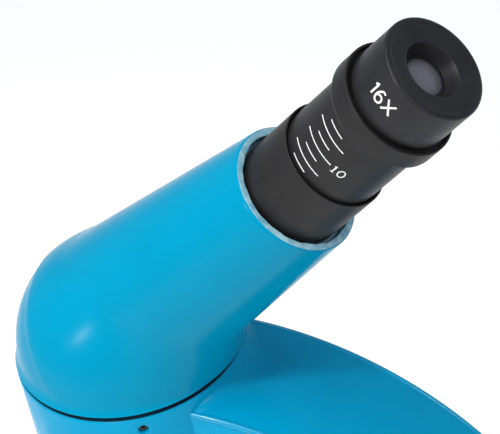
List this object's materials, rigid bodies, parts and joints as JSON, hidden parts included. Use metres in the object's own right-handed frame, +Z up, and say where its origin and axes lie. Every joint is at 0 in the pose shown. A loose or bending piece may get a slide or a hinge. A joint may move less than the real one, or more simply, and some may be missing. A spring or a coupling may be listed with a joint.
{
  "type": "monocular microscope",
  "caption": "Student microscope with a turning tilted head, graduated draw tube, revolving nosepiece, rack-and-pinion stage and two lamps.",
  "frame": {"origin": "middle of the footprint, on the table under the feet", "axes": "+Z up, +X from the stage towards the arm and the user, +Y to the left of the user"},
  "size_m": [0.192, 0.12, 0.3523],
  "materials": {
    "blue": "gloss",
    "black_metal": "satin",
    "black_plastic": "matte",
    "rubber": "matte",
    "steel": "satin",
    "battery_can": "gloss",
    "board_green": "satin",
    "led_white": "gloss",
    "glass": "gloss",
    "frosted": "satin",
    "wire_red": "satin",
    "brass": "satin",
    "alloy": "satin",
    "chrome": "gloss"
  },
  "bodies": {
    "stand": {"base_shell": "blue", "bottom_plate": "black_plastic", "rubber_feet": "rubber", "plate_screws": "steel", "batteries": "battery_can", "battery_springs": "steel", "led_board": "board_green", "dc_jack": "black_plastic", "lower_led": "led_white", "illuminator_housing": "black_plastic", "illuminator_lens": "frosted", "wiring": "wire_red", "arm": "blue", "arm_bolts": "steel", "guide_rails": "black_metal", "shaft_bushes": "brass", "upper_lamp_housing": "black_plastic", "upper_lamp_led": "led_white", "nose_mount": "black_metal", "turret_pivot": "steel", "click_spring": "steel", "head_set_screw": "steel"},
    "battery_door": {"battery_door": "black_plastic", "door_screw": "steel"},
    "power_rocker": {"power_rocker": "black_plastic"},
    "dimmer_wheel": {"dimmer_wheel": "black_plastic"},
    "focus": {"focus_shaft": "steel", "focus_pinion": "steel", "focus_knob_left": "black_plastic", "focus_knob_right": "black_plastic"},
    "stage": {"stage_slide": "alloy", "focus_rack": "steel", "stage_plate": "black_metal", "stage_screws": "steel", "clip_posts": "steel", "condenser_cell": "black_plastic", "condenser_lens": "glass", "diaphragm_screw": "steel"},
    "clip_left": {"clip_left": "steel"},
    "clip_right": {"clip_right": "steel"},
    "diaphragm": {"diaphragm_disc": "black_metal"},
    "turret": {"turret": "chrome", "objective_4x": "chrome", "objective_10x": "chrome", "objective_40x": "chrome", "nose_spring": "steel", "objective_lenses": "glass"},
    "nose_40x": {"objective_40x_nose": "chrome"},
    "head": {"head_housing": "blue", "mount_ring": "alloy", "prism": "glass", "prism_holder": "steel", "eyepiece_sleeve": "black_metal"},
    "draw_tube": {"draw_tube": "black_metal", "barlow_cell": "black_metal", "barlow_lens": "glass"},
    "eyepiece": {"eyepiece_cap": "black_plastic", "eyepiece_barrel": "alloy", "eye_lens": "glass", "field_lens": "glass"}
  },
  "joints": [
    {"name": "head_turn", "type": "hinge", "parent": "stand", "child": "head", "pos_m": [-0.028, 0, 0.23], "axis": [0, 0, 1], "continuous": true},
    {"name": "draw_slide", "type": "slide", "parent": "head", "child": "draw_tube", "axis": [0.7071, 0, 0.7071], "range_m": [-0.021, 0.01]},
    {"name": "eyepiece_pull", "type": "slide", "parent": "draw_tube", "child": "eyepiece", "axis": [0.7071, 0, 0.7071], "range_m": [0, 0.024]},
    {"name": "turret_turn", "type": "hinge", "parent": "stand", "child": "turret", "pos_m": [-0.028, 0, 0.206], "axis": [0.342, 0, 0.9397], "continuous": true},
    {"name": "nose_40x_give", "type": "slide", "parent": "turret", "child": "nose_40x", "axis": [0.4821, -0.2962, 0.8245], "range_m": [0, 0.0019], "stiffness_N_per_m": 1200, "springref_m": -0.002, "deforming": ["nose_spring"]},
    {"name": "stage_lift", "type": "slide", "parent": "stand", "child": "stage", "axis": [0, 0, 1], "range_m": [-0.02, 0]},
    {"name": "focus_turn", "type": "hinge", "parent": "stand", "child": "focus", "pos_m": [0.047, 0, 0.088], "axis": [0, 1, 0], "range_deg": [-191.5, 0.5]},
    {"name": "diaphragm_turn", "type": "hinge", "parent": "stage", "child": "diaphragm", "pos_m": [-0.048, 0, 0.0918], "axis": [0, 0, 1], "continuous": true},
    {"name": "clip_left_turn", "type": "hinge", "parent": "stage", "child": "clip_left", "pos_m": [0.008, 0.034, 0.114], "axis": [0, 0, 1], "range_deg": [-40, 12]},
    {"name": "clip_right_turn", "type": "hinge", "parent": "stage", "child": "clip_right", "pos_m": [0.008, -0.034, 0.114], "axis": [0, 0, 1], "range_deg": [-12, 40]},
    {"name": "battery_door_swing", "type": "hinge", "parent": "stand", "child": "battery_door", "pos_m": [-0.0214, 0, 0.004], "axis": [0, 1, 0], "range_deg": [0, 100]},
    {"name": "rocker_tilt", "type": "hinge", "parent": "stand", "child": "power_rocker", "pos_m": [0.016, -0.03, 0.0382], "axis": [1, 0, 0], "range_deg": [-7, 7]},
    {"name": "dimmer_turn", "type": "hinge", "parent": "stand", "child": "dimmer_wheel", "pos_m": [-0.006, -0.047, 0.0205], "axis": [0, 0, 1], "range_deg": [-140, 140]}
  ],
  "couplings": [
    {"joint": "focus_turn", "follows": "stage_lift", "rad_per_m": 166.67}
  ]
}
